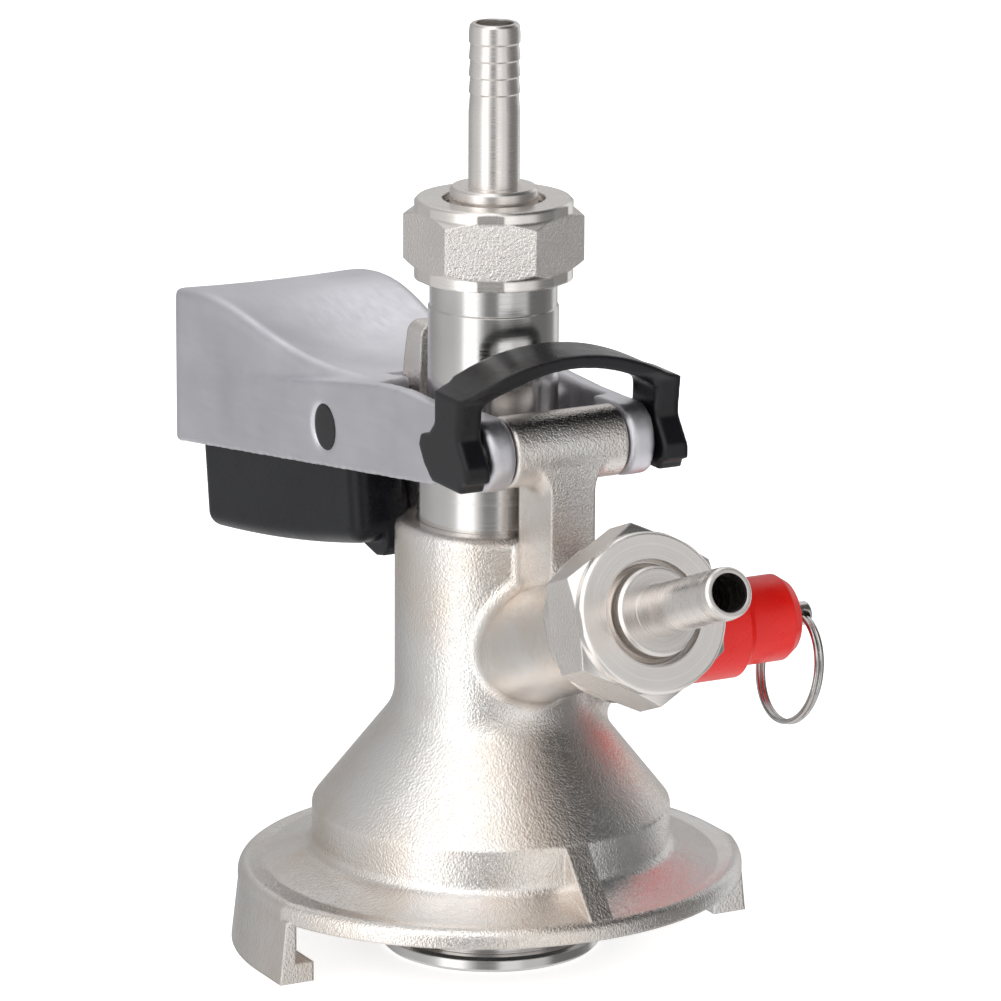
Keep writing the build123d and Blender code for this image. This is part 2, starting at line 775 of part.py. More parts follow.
with BuildPart() as relief_stem:
    with BuildSketch(relief_plane.offset(stem_head_x)):
        Circle(relief_disc_radius)
    extrude(amount=stem_head_thickness)
    with BuildSketch(relief_plane.offset(stem_start_x)):
        Circle(stem_radius)
    extrude(amount=stem_end_x - stem_start_x)
    fillet(relief_stem.faces().sort_by(Axis.X)[-1].edges(), 0.5)
    with BuildSketch(Plane.XZ):
        with Locations((ring_hole_x, relief_axis_z)):
            Circle(ring_hole_radius)
    extrude(amount=stem_radius + 1, both=True, mode=Mode.SUBTRACT)
relief_stem.part.label = "relief_stem"
export_step(relief_stem.part, "parts/relief_stem.step")


def coil_spring(start, coil_radius, wire_radius, length, turns):
    """Round-wire spring along the normal of its start plane, its ends inside the length."""
    pitch = (length - 2 * wire_radius) / turns
    with BuildPart() as spring:
        with BuildLine():
            path = Helix(pitch, length - 2 * wire_radius, coil_radius, center=(0, 0, wire_radius))
        with BuildSketch(Plane(origin=path @ 0, z_dir=path % 0)):
            Circle(wire_radius)
        sweep(path=path, is_frenet=True)
    return start.location * spring.part


relief_spring = coil_spring(
    relief_plane.offset(stem_start_x),
    relief_spring_radius,
    spring_wire_radius,
    cap_web_x - stem_start_x,
    relief_spring_turns,
)
relief_spring.label = "relief_spring"
export_step(relief_spring, "parts/relief_spring.step")

# split ring through the stem's cross hole, leaning in under the cap
ring_axis = Axis((ring_hole_x, 0, relief_axis_z), (0, 1, 0))
with BuildPart() as relief_ring:
    for coil in (-0.9, 0.9):
        with BuildSketch(Plane.XY):
            with Locations((ring_hole_x + coil * ring_wire_radius, ring_radius)):
                Circle(ring_wire_radius)
        revolve(axis=Axis((0, 0, 0), (1, 0, 0)))
hung_ring = relief_ring.part.moved(Location((0, 0, relief_axis_z - ring_radius)))
hung_ring = hung_ring.rotate(ring_axis, ring_lean)
hung_ring.label = "relief_ring"
export_step(hung_ring, "parts/relief_ring.step")

# ---------------------------------------------------------------- hinge pin
with BuildPart() as hinge_pin:
    with BuildSketch(hinge_plane):
        Circle(hinge_pin_radius)
    extrude(amount=bail_outer - 1.4, both=True)
    chamfer(hinge_pin.edges().group_by(Axis.X)[0] + hinge_pin.edges().group_by(Axis.X)[-1], 0.4)
hinge_pin.part.label = "hinge_pin"
export_step(hinge_pin.part, "parts/hinge_pin.step")

# ---------------------------------------------------------------- lever
pad_sections = (             # reach, half width, height, dip of the thumb scoop
    (38.0, 12.4, 8.9, 0.3),
    (50.0, 15.0, 9.5, 0.9),
    (64.0, 16.9, 11.2, 2.0),
    (77.0, 18.3, 14.2, 2.8),
    (88.0, 19.5, 17.7, 2.6),
    (98.0, 20.3, 20.3, 1.5),
    (107.0, 20.9, 21.2, 0.6),
    (lever_length + 1.5, 21.6, 21.1, 0.2),
)
pad_edge = 2.4               # rounding along the pad's ridge
pad_foot = 2.0               # height at which the pad's flanks start


def pad_section(reach, half_width, height, dip):
    """Cross section of the raised pad: upright flanks, round ridges and a scooped top."""
    bend = pad_edge * (1 - sqrt(0.5))
    section = Plane(
        origin=lever_side.from_local_coords((reach, 0, 0)), x_dir=(1, 0, 0), z_dir=-lever_side.x_dir
    )
    with BuildSketch(section) as outline:
        with BuildLine():
            Line((-half_width, pad_foot), (half_width, pad_foot))
            Line((half_width, pad_foot), (half_width, height - pad_edge))
            ThreePointArc(
                (half_width, height - pad_edge),
                (half_width - bend, height - bend),
                (half_width - pad_edge, height),
            )
            ThreePointArc(
                (half_width - pad_edge, height),
                (0, height - dip),
                (-half_width + pad_edge, height),
            )
            ThreePointArc(
                (-half_width + pad_edge, height),
                (-half_width + bend, height - bend),
                (-half_width, height - pad_edge),
            )
            Line((-half_width, height - pad_edge), (-half_width, pad_foot))
        make_face()
    return outline.sketch


def lever_plan(inset, far_y, corner):
    """Plan of the lever, or of a space inside it, as an upright prism."""
    near_y = hinge_y - 12
    near = lever_half_width(near_y - hinge_y) - inset
    far = lever_half_width(far_y - hinge_y) - inset
    with BuildPart() as prism:
        with BuildSketch(Plane.XY.offset(hinge_z - 60)) as plan:
            with BuildLine():
                Polyline((-near, near_y), (near, near_y), (far, far_y), (-far, far_y), close=True)
            make_face()
            fillet(plan.vertices().group_by(Axis.Y)[-1], corner)
        extrude(amount=120)
    return prism.part


def across_lever(points, half_width=lever_far_half_width + 1):
    """Side profile in the lever's own plane, extruded to both sides."""
    with BuildPart() as slab:
        with BuildSketch(lever_side):
            with BuildLine():
                Polyline(*points, close=True)
            make_face()
        extrude(amount=half_width, both=True)
    return slab.part


lever_outline = [
    (0, -knuckle_radius),
    (lever_length + 2, -8.3),
    (lever_length + 2, 7.0),
    (76, 7.2),
    (63, 8.1),
    (50, 8.9),
    (34, 9.6),
    (25, 9.3),
    (16, 8.0),
    (0, knuckle_radius),
]
hollow_outline = [
    (trigger_front - 2.5, -20),
    (trigger_front - 2.5, 4.8),
    (68, 6.5),
    (84, 10.0),
    (lever_length - 4, 14.5),
    (lever_length, -20),
]
with BuildPart() as lever:
    add(across_lever(lever_outline))
    # raised pad with its scooped top
    for section in pad_sections:
        add(pad_section(*section))
    loft()
    with BuildSketch(hinge_plane):
        Circle(knuckle_radius)
    extrude(amount=knuckle_outer, both=True)
    add(lever_plan(0, lever_far_y, lever_corner), mode=Mode.INTERSECT)
    # fork window, narrowing to a slot for the fin
    with BuildSketch(lever_top.offset(-40)):
        with BuildLine():
            Polyline(
                (-arm_half_gap, knuckle_radius + 1),
                (arm_half_gap, knuckle_radius + 1),
                (arm_half_gap, window_end),
                (fin_slot_half_width, window_end + 5),
                (fin_slot_half_width, fin_slot_end),
                (-fin_slot_half_width, fin_slot_end),
                (-fin_slot_half_width, window_end + 5),
                (-arm_half_gap, window_end),
                close=True,
            )
        make_face()
    extrude(amount=80, mode=Mode.SUBTRACT)
    # gap for the hinge barrel
    with BuildSketch(hinge_plane):
        Circle(2 * barrel_radius)
    extrude(amount=barrel_half_length + moving_gap, both=True, mode=Mode.SUBTRACT)
    # hollow underside that houses the trigger
    housing = lever_plan(wall_skin, lever_far_y - wall_skin, lever_corner - wall_skin)
    add(across_lever(hollow_outline).intersect(housing), mode=Mode.SUBTRACT)
    # lugs that ride in the probe's groove
    for side in (-1, 1):
        with BuildSketch(Plane.YZ.offset(side * lug_tip_half_width)):
            with Locations((lug_y, lug_z)):
                Circle(lug_radius)
        extrude(amount=side * (arm_half_gap + 1 - lug_tip_half_width))
        with BuildSketch(Plane.YZ.offset(side * lug_rib_half_width)):
            with BuildLine():
                Polyline(
                    (lug_y - lug_radius, lug_z),
                    (lug_y + lug_radius, lug_z),
                    (lug_y + 0.6 * lug_radius, lug_rib_top_z),
                    (lug_y - 0.6 * lug_radius, lug_rib_top_z),
                    close=True,
                )
            make_face()
        extrude(amount=side * (arm_half_gap + 1 - lug_rib_half_width))
    # hinge bore, trigger pin bore and the plug recesses
    with BuildSketch(hinge_plane):
        Circle(hinge_pin_radius + running_fit)
    extrude(amount=lever_far_half_width, both=True, mode=Mode.SUBTRACT)
    with BuildSketch(lever_side):
        with Locations((trigger_pin_reach, 0)):
            Circle(trigger_pin_radius)
    extrude(amount=lever_far_half_width, both=True, mode=Mode.SUBTRACT)
    pin_half_length = lever_half_width(trigger_pin_reach) - plug_depth
    for side in (-1, 1):
        with BuildSketch(lever_side.offset(side * pin_half_length)):
            with Locations((trigger_pin_reach, 0)):
                Circle(plug_radius)
        extrude(amount=side * 5, mode=Mode.SUBTRACT)
lever.part.label = "lever"
export_step(lever.part, "parts/lever.step")

with BuildPart() as trigger_pin:
    with BuildSketch(lever_side):
        with Locations((trigger_pin_reach, 0)):
            Circle(trigger_pin_radius)
    extrude(amount=pin_half_length, both=True)
trigger_pin.part.label = "trigger_pin"
export_step(trigger_pin.part, "parts/trigger_pin.step")

with BuildPart() as pin_plugs:
    for side in (-1, 1):
        with BuildSketch(lever_side.offset(side * pin_half_length)):
            with Locations((trigger_pin_reach, 0)):
                Circle(plug_radius - 0.02)
        extrude(amount=side * (plug_depth - 0.4))
pin_plugs.part.label = "pin_plugs"
export_step(pin_plugs.part, "parts/pin_plugs.step")

# ---------------------------------------------------------------- trigger
trigger_floor_y = trigger_wall + 0.7 - trigger_depth
trigger_hollow = [
    (trigger_pin_reach + trigger_front_wall, -1.5),
    (trigger_pin_reach + trigger_front_wall, -17.5),
    (trigger_pin_reach + 18.4, trigger_floor_y),
    (trigger_far - 3.5, trigger_floor_y),
    (trigger_far - 2.5, 20),
    (trigger_pin_reach + trigger_front_wall, 20),
]
tongue_outline = [
    (trigger_front, -17),
    (trigger_front + 0.6, -23.0),
    (trigger_front + 2.2, -24.6),
    (trigger_front + 5.2, -24.8),
    (trigger_front + 11.2, -22.8),
    (trigger_front + 9.2, -17),
]
trigger_inset = wall_skin + trigger_gap


def is_front_corner(vertex):
    """True for the lower front corner of the trigger's side profile."""
    return abs(vertex.Y + trigger_front_depth) < 0.01


def is_low_edge(edge):
    """True for the trigger's edges below and across its ends, not those inside the lever."""
    return lever_side.to_local_coords(edge.center()).Y < -trigger_lip - 1


with BuildPart() as trigger:
    # tub with a bowed underside and round edges
    with BuildSketch(lever_side) as tub_side:
        with BuildLine():
            Polyline(
                (trigger_far, -trigger_depth),
                (trigger_far, -trigger_lip),
                (trigger_pin_reach + 6.4, trigger_lip),
                (trigger_front, trigger_lip),
                (trigger_front, -trigger_front_depth),
            )
            ThreePointArc(
                (trigger_front, -trigger_front_depth),
                (trigger_pin_reach + 18.4, -trigger_depth + 0.8),
                (trigger_far, -trigger_depth),
            )
        make_face()
        fillet(tub_side.vertices().group_by(Axis.Y)[0], trigger_corner)
        fillet(tub_side.vertices().filter_by(is_front_corner), 1.5 * trigger_corner)
    extrude(amount=lever_far_half_width, both=True)
    add(lever_plan(trigger_inset, lever_far_y, trigger_corner), mode=Mode.INTERSECT)
    sides = trigger.faces().sort_by(Axis.X)
    fillet((sides[0].edges() + sides[-1].edges()).filter_by(is_low_edge), trigger_corner)
    tub_space = lever_plan(trigger_inset + trigger_wall, lever_far_y, trigger_corner)
    add(across_lever(trigger_hollow).intersect(tub_space), mode=Mode.SUBTRACT)
    # tongue at the front, either side of the fin
    add(across_lever(tongue_outline, tongue_half_width))
    # slot that clears the fin, its back struck about the hinge axis
    with BuildSketch(hinge_plane):
        Circle(fin_back_reach + trigger_gap)
    extrude(amount=fin_slot_half_width, both=True, mode=Mode.SUBTRACT)
    with BuildSketch(lever_side):
        with Locations((trigger_pin_reach - 9, 6)):
            Rectangle(20, 20)
    extrude(amount=fin_slot_half_width, both=True, mode=Mode.SUBTRACT)
    # pocket for the torsion spring
    with BuildSketch(lever_side.offset(fin_slot_half_width - 1)):
        with Locations((trigger_pin_reach, 0)):
            Circle(spring_pocket_radius)
    extrude(amount=spring_pocket_length + 1, mode=Mode.SUBTRACT)
    with BuildSketch(lever_side):
        with Locations((trigger_pin_reach, 0)):
            Circle(trigger_pin_radius + running_fit)
    extrude(amount=lever_far_half_width, both=True, mode=Mode.SUBTRACT)
trigger.part.label = "trigger"
export_step(trigger.part, "parts/trigger.step")

# torsion spring round the trigger pin, beside the fin slot
spring_side = lever_side.offset(fin_slot_half_width + 0.6)
trigger_spring = coil_spring(
    Plane(
        origin=spring_side.from_local_coords((trigger_pin_reach, 0, 0)),
        x_dir=lever_side.x_dir,
        z_dir=(1, 0, 0),
    ),
    trigger_spring_radius,
    spring_wire_radius,
    trigger_spring_length,
    trigger_spring_turns,
)
trigger_spring.label = "trigger_spring"
export_step(trigger_spring, "parts/trigger_spring.step")

# ---------------------------------------------------------------- bail on the pin ends
arch_front = Plane(origin=(0, hinge_y, hinge_z), x_dir=(1, 0, 0), z_dir=(0, -1, 0))
with BuildPart() as bail:
    # arch and legs seen from the front
    with BuildSketch(arch_front):
        with BuildLine():
            shoulder = (bail_outer - 3.0, 12.4)
            Line((-bail_outer, -5.1), (-bail_outer, 11.4))
            Line((-bail_outer, 11.4), (-shoulder[0], shoulder[1]))
            ThreePointArc((-shoulder[0], shoulder[1]), (0, bail_rise), shoulder)
            Line(shoulder, (bail_outer, 11.4))
            Line((bail_outer, 11.4), (bail_outer, -5.1))
            Line((bail_outer, -5.1), (bail_inner, -5.1))
            Line((bail_inner, -5.1), (bail_inner, 9.8))
            ThreePointArc((bail_inner, 9.8), (0, bail_rise - bail_thickness), (-bail_inner, 9.8))
            Line((-bail_inner, 9.8), (-bail_inner, -5.1))
            Line((-bail_inner, -5.1), (-bail_outer, -5.1))
        make_face()
    extrude(amount=11.5, both=True)
    # outline seen from the side: band, waist and anchor foot
    with BuildSketch(hinge_plane):
        with BuildLine():
            Polyline(
                (-bail_half_depth, bail_rise + 1),
                (-bail_half_depth, 13.0),
                (-bail_leg_half_depth, 11.0),
                (-bail_leg_half_depth + 0.8, 4.5),
                (-7.8, -0.4),
                (-7.8, -3.0),
                (-5.8, -3.6),
                (-5.6, -5.1),
                (5.6, -5.1),
                (8.6, -2.6),
                (10.7, 0.6),
                (10.0, 2.6),
                (6.6, 3.6),
                (bail_leg_half_depth - 0.5, 6.0),
                (bail_leg_half_depth - 0.5, 11.0),
                (bail_half_depth, 13.0),
                (bail_half_depth, bail_rise + 1),
                close=True,
            )
        make_face()
    extrude(amount=bail_outer + 1, both=True, mode=Mode.INTERSECT)
    # bosses to the knuckles, and the blind sockets for the pin
    for side in (-1, 1):
        with BuildSketch(hinge_plane.offset(side * (knuckle_outer + moving_gap))):
            Circle(4.8)
        extrude(amount=side * (bail_inner - knuckle_outer))
        with BuildSketch(hinge_plane.offset(side * knuckle_outer)):
            Circle(hinge_pin_radius + running_fit)
        extrude(amount=side * (bail_outer - knuckle_outer - 1.2), mode=Mode.SUBTRACT)
bail.part.label = "bail"
export_step(bail.part, "parts/bail.step")
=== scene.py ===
import bmesh
import bpy
from math import radians, sin, cos, pi
from mathutils import Matrix, Vector


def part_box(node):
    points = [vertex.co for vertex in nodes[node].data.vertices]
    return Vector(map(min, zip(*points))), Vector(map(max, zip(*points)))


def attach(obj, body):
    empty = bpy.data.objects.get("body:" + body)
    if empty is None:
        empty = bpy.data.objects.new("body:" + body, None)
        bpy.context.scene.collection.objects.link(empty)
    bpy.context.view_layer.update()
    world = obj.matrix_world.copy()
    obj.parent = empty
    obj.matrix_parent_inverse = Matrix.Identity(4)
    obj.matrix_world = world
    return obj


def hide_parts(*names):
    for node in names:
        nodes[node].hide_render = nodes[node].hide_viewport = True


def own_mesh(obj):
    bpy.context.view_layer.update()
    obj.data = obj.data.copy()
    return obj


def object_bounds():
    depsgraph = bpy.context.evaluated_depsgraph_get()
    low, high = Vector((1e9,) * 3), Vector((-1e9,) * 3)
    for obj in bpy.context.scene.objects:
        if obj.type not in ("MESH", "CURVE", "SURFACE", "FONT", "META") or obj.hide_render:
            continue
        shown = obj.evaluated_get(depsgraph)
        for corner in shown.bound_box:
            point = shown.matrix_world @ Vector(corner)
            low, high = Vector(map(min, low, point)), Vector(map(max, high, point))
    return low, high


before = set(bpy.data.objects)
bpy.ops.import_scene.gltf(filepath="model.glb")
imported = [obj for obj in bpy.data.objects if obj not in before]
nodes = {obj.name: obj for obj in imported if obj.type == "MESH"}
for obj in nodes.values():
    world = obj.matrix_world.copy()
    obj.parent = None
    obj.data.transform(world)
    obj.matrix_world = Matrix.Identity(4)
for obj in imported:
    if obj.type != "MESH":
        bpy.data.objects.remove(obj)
cad_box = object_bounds()

# lengths are in metres and angles in degrees
x_axis = (1, 0, 0)
z_axis = (0, 0, 1)
gas_branch_tilt = 21            # rise of the gas branch above level
flats_end = (0.0047, 0.0053)    # a nut's flats fade out here, from its middle
spring_turns = 6
spring_wire_radius = 0.00045
floor_size = 8

# the photograph's viewpoint
view_azimuth = -28              # from the front
view_elevation = 14.67
view_roll = 0.3
view_distance = 1.169
view_focal_lengths = 6.4935     # in widths of the sensor
view_aim_z = 0.0828
view_shift = 0.00145            # to the right of the probe's axis

# studio
floor_glow = 0.72
ground_level = 0.88             # brightness well below the horizon
brightest = 2                   # a ramp stops at 1, so brightness is stored as a share of this
ceiling_heights = (20, 48)      # the strips overhead take over between these heights
ground_heights = (-50, -26)     # and the ground below these

# brightness by degrees of azimuth from the viewing side, near eye level
low_strips = (
    (-180, 0.55),
    (-160, 0.42),
    (-132, 0.42),
    (-100, 0.62),
    (-72, 0.68),
    (-58, 0.85),
    (-52, 1.75),
    (-30, 1.75),
    (-22, 0.8),
    (-12, 0.3),
    (6, 0.3),
    (12, 1.1),
    (30, 1.1),
    (36, 0.75),
    (60, 0.75),
    (70, 0.2),
    (105, 0.2),
    (128, 0.3),
    (138, 0.85),
    (152, 0.85),
    (162, 0.4),
    (180, 0.55),
)
# and overhead
high_strips = (
    (-180, 1.3),
    (-155, 0.9),
    (-125, 0.45),
    (-90, 0.55),
    (-60, 1.7),
    (-10, 1.7),
    (20, 1.0),
    (40, 0.5),
    (60, 0.08),
    (130, 0.08),
    (150, 0.5),
    (165, 0.9),
    (180, 1.3),
)


# ---------------------------------------------------------------- materials
def feed(tree, value, socket):
    """Links a socket to an input, or sets the input to a plain value."""
    if isinstance(value, bpy.types.NodeSocket):
        tree.links.new(value, socket)
    else:
        socket.default_value = value


def maths(tree, operation, *values):
    """A maths node; each value is a socket or a number."""
    node = tree.nodes.new("ShaderNodeMath")
    node.operation = operation
    for socket, value in zip(node.inputs, values):
        feed(tree, value, socket)
    return node.outputs[0]


class Shader:
    """A node material with one Principled shader and short helpers for its texture nodes."""

    def __init__(self, name, metallic, edge=0.0003):
        self.material = bpy.data.materials.new(name)
        self.material.use_nodes = True
        self.tree = self.material.node_tree
        self.bsdf = self.tree.nodes["Principled BSDF"]
        self.bsdf.inputs["Metallic"].default_value = metallic
        texture = self.tree.nodes.new("ShaderNodeTexCoord")
        self.coordinates = texture.outputs["Object"]
        self.normal = texture.outputs["Normal"]
        self.edge = edge

    def link(self, source, target):
        self.tree.links.new(source, target)

    def math(self, operation, *values):
        return maths(self.tree, operation, *values)

    def vector(self, operation, first, second, output="Vector"):
        """A vector maths node on a socket and a constant vector."""
        node = self.tree.nodes.new("ShaderNodeVectorMath")
        node.operation = operation
        self.link(first, node.inputs[0])
        node.inputs[1].default_value = second
        return node.outputs[output]

    def stretched(self, scale):
        """Object coordinates, in metres, stretched by scale along each axis."""
        mapping = self.tree.nodes.new("ShaderNodeMapping")
        mapping.inputs["Scale"].default_value = scale
        self.link(self.coordinates, mapping.inputs["Vector"])
        return mapping.outputs["Vector"]

    def noise(self, scale, detail=3, roughness=0.55, vector=None):
        """Noise with that many features to the metre."""
        node = self.tree.nodes.new("ShaderNodeTexNoise")
        node.inputs["Scale"].default_value = scale
        node.inputs["Detail"].default_value = detail
        node.inputs["Roughness"].default_value = roughness
        self.link(vector or self.coordinates, node.inputs["Vector"])
        return node.outputs["Fac"]

    def spread(self, value, low, high, start=0.3, stop=0.7):
        """Maps start..stop of a value to low..high."""
        node = self.tree.nodes.new("ShaderNodeMapRange")
        node.inputs["From Min"].default_value = start
        node.inputs["From Max"].default_value = stop
        node.inputs["To Min"].default_value = low
        node.inputs["To Max"].default_value = high
        self.link(value, node.inputs["Value"])
        return node.outputs["Result"]

    def colors(self, value, first, second, start=0.3, stop=0.7):
        """Blends two colours as the value goes from start to stop."""
        ramp = self.tree.nodes.new("ShaderNodeValToRGB")
        ramp.color_ramp.elements[0].position = start
        ramp.color_ramp.elements[0].color = (*first, 1)
        ramp.color_ramp.elements[1].position = stop
        ramp.color_ramp.elements[1].color = (*second, 1)
        self.link(value, ramp.inputs["Fac"])
        self.link(ramp.outputs["Color"], self.bsdf.inputs["Base Color"])

    def bumps(self, *layers):
        """Layers of (height value, distance in metres, strength) over slightly rounded edges."""
        bevel = self.tree.nodes.new("ShaderNodeBevel")
        bevel.samples = 4
        bevel.inputs["Radius"].default_value = self.edge
        normal = bevel.outputs["Normal"]
        for height, distance, strength in layers:
            node = self.tree.nodes.new("ShaderNodeBump")
            node.inputs["Distance"].default_value = distance
            feed(self.tree, strength, node.inputs["Strength"])
            self.link(height, node.inputs["Height"])
            self.link(normal, node.inputs["Normal"])
            normal = node.outputs["Normal"]
        self.link(normal, self.bsdf.inputs["Normal"])

    def rough(self, value):
        """Roughness, as a socket or a number."""
        feed(self.tree, value, self.bsdf.inputs["Roughness"])

    def lathe(self, origin, axis):
        """Distance along a turned piece's axis, and out from it."""
        offset = self.vector("SUBTRACT", self.coordinates, origin)
        along = self.vector("DOT_PRODUCT", offset, axis, "Value")
        across = self.vector("CROSS_PRODUCT", offset, axis)
        out = self.tree.nodes.new("ShaderNodeVectorMath")
        out.operation = "LENGTH"
        self.link(across, out.inputs[0])
        return along, out.outputs["Value"]

    def tool_marks(self, along, out, pitch):
        """Rings left by the turning tool, about one pitch apart on every turned surface."""
        place = self.tree.nodes.new("ShaderNodeCombineXYZ")
        self.link(self.math("MULTIPLY", along, 1 / pitch), place.inputs["X"])
        self.link(self.math("MULTIPLY", out, 1 / pitch), place.inputs["Y"])
        self.link(self.noise(25, 1), place.inputs["Z"])
        return self.noise(1, 3, 0.7, place.outputs["Vector"])


def cast_nickel():
    """Nickel-plated casting: bright, warm, with a grain under half a millimetre."""
    s = Shader("cast_nickel", metallic=1, edge=0.0007)
    s.colors(s.noise(38, 3), (0.81, 0.73, 0.655), (0.86, 0.835, 0.815), 0.35, 0.6)
    s.rough(s.spread(s.noise(420, 3), 0.13, 0.25))
    s.bumps(
        (s.noise(60, 2), 0.0012, 0.08),
        (s.noise(700, 2, 0.6), 0.0003, 0.18),
        (s.noise(2300, 2, 0.65), 0.0002, 0.72),
    )
    return s.material


def turned_steel(name, origin, axis, color=(0.66, 0.645, 0.635), roughness=0.15):
    """Stainless steel off the lathe, with fine rings about its axis."""
    s = Shader(name, metallic=1)
    along, out = s.lathe(origin, axis)
    marks = s.tool_marks(along, out, pitch=0.00035)
    s.colors(s.noise(60, 2), [0.92 * c for c in color], [1.06 * c for c in color])
    s.rough(s.spread(marks, roughness - 0.05, roughness + 0.1))
    s.bumps((s.noise(70, 1), 0.0002, 0.12), (marks, 0.00003, 0.25))
    return s.material


def union_nut(name, origin, axis):
    """Union nut: turned collars and faces, and flats blasted to a fine sparkle between them."""
    s = Shader(name, metallic=1, edge=0.0005)
    along, out = s.lathe(origin, axis)
    facing = s.math("ABSOLUTE", s.vector("DOT_PRODUCT", s.normal, axis, "Value"))
    from_middle = s.math("ABSOLUTE", along)
    sideways = s.spread(facing, 1, 0, 0.25, 0.4)
    between_collars = s.spread(from_middle, 1, 0, *flats_end)
    flats = s.math("MULTIPLY", sideways, between_collars)
    marks = s.tool_marks(along, out, pitch=0.0003)
    grain = s.noise(2000, 2, 0.6)
    s.colors(s.noise(75, 2), (0.86, 0.82, 0.785), (0.94, 0.905, 0.875))
    turned = s.spread(marks, 0.18, 0.3)
    blasted = s.spread(grain, 0.3, 0.42)
    mix = s.tree.nodes.new("ShaderNodeMix")
    s.link(flats, mix.inputs["Factor"])
    s.link(turned, mix.inputs["A"])
    s.link(blasted, mix.inputs["B"])
    s.rough(mix.outputs["Result"])
    s.bumps(
        (marks, 0.00003, s.math("SUBTRACT", 0.22, s.math("MULTIPLY", flats, 0.22))),
        (grain, 0.0003, s.math("MULTIPLY", flats, 0.95)),
    )
    return s.material


def lever_finish():
    """Satin grey lever: soft vibratory-polished alloy with faint brush marks along it."""
    s = Shader("lever_finish", metallic=1, edge=0.0012)
    brush = s.noise(1, 3, 0.7, s.stretched((900, 90, 900)))
    s.colors(s.noise(35, 3), (0.65, 0.64, 0.68), (0.81, 0.805, 0.85))
    s.rough(s.spread(brush, 0.34, 0.48))
    s.bumps(
        (s.noise(90, 2), 0.0006, 0.1),
        (s.noise(1500, 2), 0.00005, 0.4),
        (brush, 0.00003, 0.3),
    )
    return s.material


def plastic(name, dark, light, roughness, grain, edge=0.0005, gloss=0.5):
    """Moulded plastic with a fine grain of that many features to the metre."""
    s = Shader(name, metallic=0, edge=edge)
    s.bsdf.inputs["Specular IOR Level"].default_value = gloss
    s.colors(s.noise(60, 3), dark, light)
    s.rough(s.spread(s.noise(220, 3), roughness - 0.06, roughness + 0.08))
    s.bumps((s.noise(120, 2), 0.0003, 0.1), (s.noise(grain, 2), 0.00005, 0.4))
    return s.material


def seal_rubber():
    """Matt black rubber of the washers and seals."""
    s = Shader("seal_rubber", metallic=0)
    s.colors(s.noise(90, 3), (0.012, 0.012, 0.013), (0.035, 0.035, 0.037))
    s.rough(0.6)
    s.bumps((s.noise(1400, 2), 0.00008, 0.4))
    return s.material


def spring_wire():
    """Drawn wire of the springs and the pull ring."""
    s = Shader("spring_wire", metallic=1, edge=0.0001)
    drawn = s.noise(500, 3)
    s.colors(drawn, (0.45, 0.44, 0.43), (0.64, 0.63, 0.62))
    s.rough(s.spread(drawn, 0.14, 0.3))
    s.bumps((drawn, 0.00005, 0.3))
    return s.material


def between(low, high):
    """Middle of a node's box."""
    return (Vector(low) + Vector(high)) / 2


tilt = radians(gas_branch_tilt)
gas_way = (0, -cos(tilt), sin(tilt))
beer_nut_middle = between(*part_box("beer_union_nut"))
gas_nut_middle = between(*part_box("gas_union_nut"))
relief_middle = between(*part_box("relief_stem"))
pin_middle = between(*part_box("hinge_pin"))
tail_tint = (0.84, 0.80, 0.77)
relief_tint = (0.70, 0.68, 0.66)
turned_z = turned_steel("turned_steel", (0, 0, 0), z_axis)
turned_tail = turned_steel("turned_tail", (0, 0, 0), z_axis, tail_tint, roughness=0.27)
turned_gas = turned_steel("turned_gas", gas_nut_middle, gas_way, tail_tint, roughness=0.25)
turned_x = turned_steel("turned_relief", relief_middle, x_axis, relief_tint, roughness=0.17)
pin_steel = turned_steel("pin_steel", pin_middle, x_axis)
casting = cast_nickel()
beer_nut = union_nut("beer_nut_steel", beer_nut_middle, z_axis)
gas_nut = union_nut("gas_nut_steel", gas_nut_middle, gas_way)
grey_lever = lever_finish()
charcoal = plastic(
    "charcoal_plastic",
    dark=(0.004, 0.0042, 0.0065),
    light=(0.007, 0.0073, 0.011),
    roughness=0.26,
    grain=1500,
    edge=0.0012,
    gloss=0.27,
)
bail_black = plastic(
    "bail_black",
    dark=(0.004, 0.004, 0.005),
    light=(0.008, 0.008, 0.0105),
    roughness=0.22,
    grain=900,
    edge=0.0008,
    gloss=0.4,
)
cap_red = plastic(
    "cap_red",
    dark=(0.66, 0.006, 0.003),
    light=(0.78, 0.010, 0.005),
    roughness=0.3,
    grain=700,
)
valve_white = plastic(
    "valve_white",
    dark=(0.70, 0.69, 0.66),
    light=(0.80, 0.79, 0.76),
    roughness=0.4,
    grain=900,
)
rubber = seal_rubber()
wire = spring_wire()

finishes = {
    "coupler_body": casting,
    "body_seal": rubber,
    "probe": turned_z,
    "upper_o_ring": rubber,
    "lower_o_ring": rubber,
    "probe_seal": rubber,
    "check_ball": valve_white,
    "ball_cage": valve_white,
    "beer_washer": rubber,
    "beer_hose_tail": turned_tail,
    "beer_union_nut": beer_nut,
    "gas_washer": rubber,
    "gas_hose_tail": turned_gas,
    "gas_union_nut": gas_nut,
    "gas_check_valve": rubber,
    "relief_seat": turned_x,
    "relief_cap": cap_red,
    "relief_disc": rubber,
    "relief_stem": turned_x,
    "relief_spring": wire,
    "relief_ring": wire,
    "hinge_pin": pin_steel,
    "lever": grey_lever,
    "trigger_pin": pin_steel,
    "pin_plugs": bail_black,
    "trigger": charcoal,
    "trigger_spring": wire,
    "bail": bail_black,
}
for node, material in finishes.items():
    if not nodes[node].material_slots:
        nodes[node].data.materials.append(material)
    for slot in nodes[node].material_slots:
        slot.link = "OBJECT"
        slot.material = material


